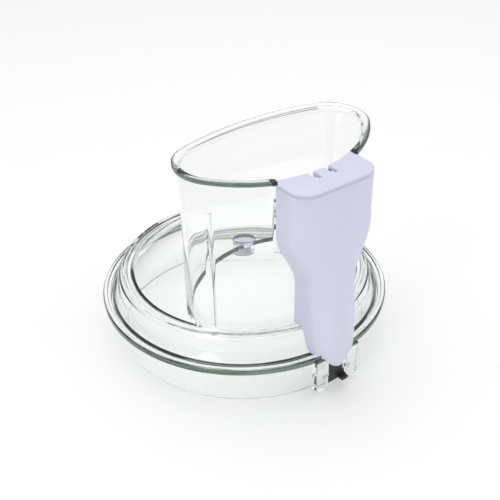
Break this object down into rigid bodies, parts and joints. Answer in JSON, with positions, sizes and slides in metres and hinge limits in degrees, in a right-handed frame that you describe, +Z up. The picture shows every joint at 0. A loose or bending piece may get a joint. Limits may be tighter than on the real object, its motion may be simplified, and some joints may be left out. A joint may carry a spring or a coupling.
{
  "type": "food processor lid",
  "caption": "Clear round food processor lid with a wide D-shaped feed chute, a sprung interlock trigger in a lavender housing and a spindle bearing under the deck.",
  "frame": {"origin": "on the lid's axis at the mouth of the spindle bearing's bore", "axes": "+Z up along the lid's axis, the trigger towards -Y, mirror plane at X = 0 but for the rib and the lug"},
  "size_m": [0.2, 0.2026, 0.1579],
  "materials": {
    "clear_plastic": "clear moulded, polished",
    "clear_plastic_chute": "clear moulded, polished",
    "lavender_plastic": "translucent satin",
    "lavender_cap": "translucent satin",
    "lavender_bearing": "translucent satin",
    "white_plastic": "satin",
    "spring_steel": "drawn wire",
    "black_plastic": "fine matte",
    "clear_pegs": "clear moulded"
  },
  "bodies": {
    "lid": {"lid_body": "clear_plastic", "feed_chute": "clear_plastic_chute", "trigger_cover": "lavender_plastic", "cover_cap": "lavender_cap", "spindle_bearing": "lavender_bearing", "guide_pegs": "clear_pegs", "return_spring": "spring_steel"},
    "plunger": {"push_rod": "white_plastic", "rod_clip": "spring_steel", "actuator": "black_plastic"}
  },
  "joints": [
    {"name": "rod_slide", "type": "slide", "parent": "lid", "child": "plunger", "axis": [0, 0, -1], "range_m": [0, 0.005], "stiffness_N_per_m": 400, "springref_m": -0.004, "deforming": ["return_spring"]}
  ]
}
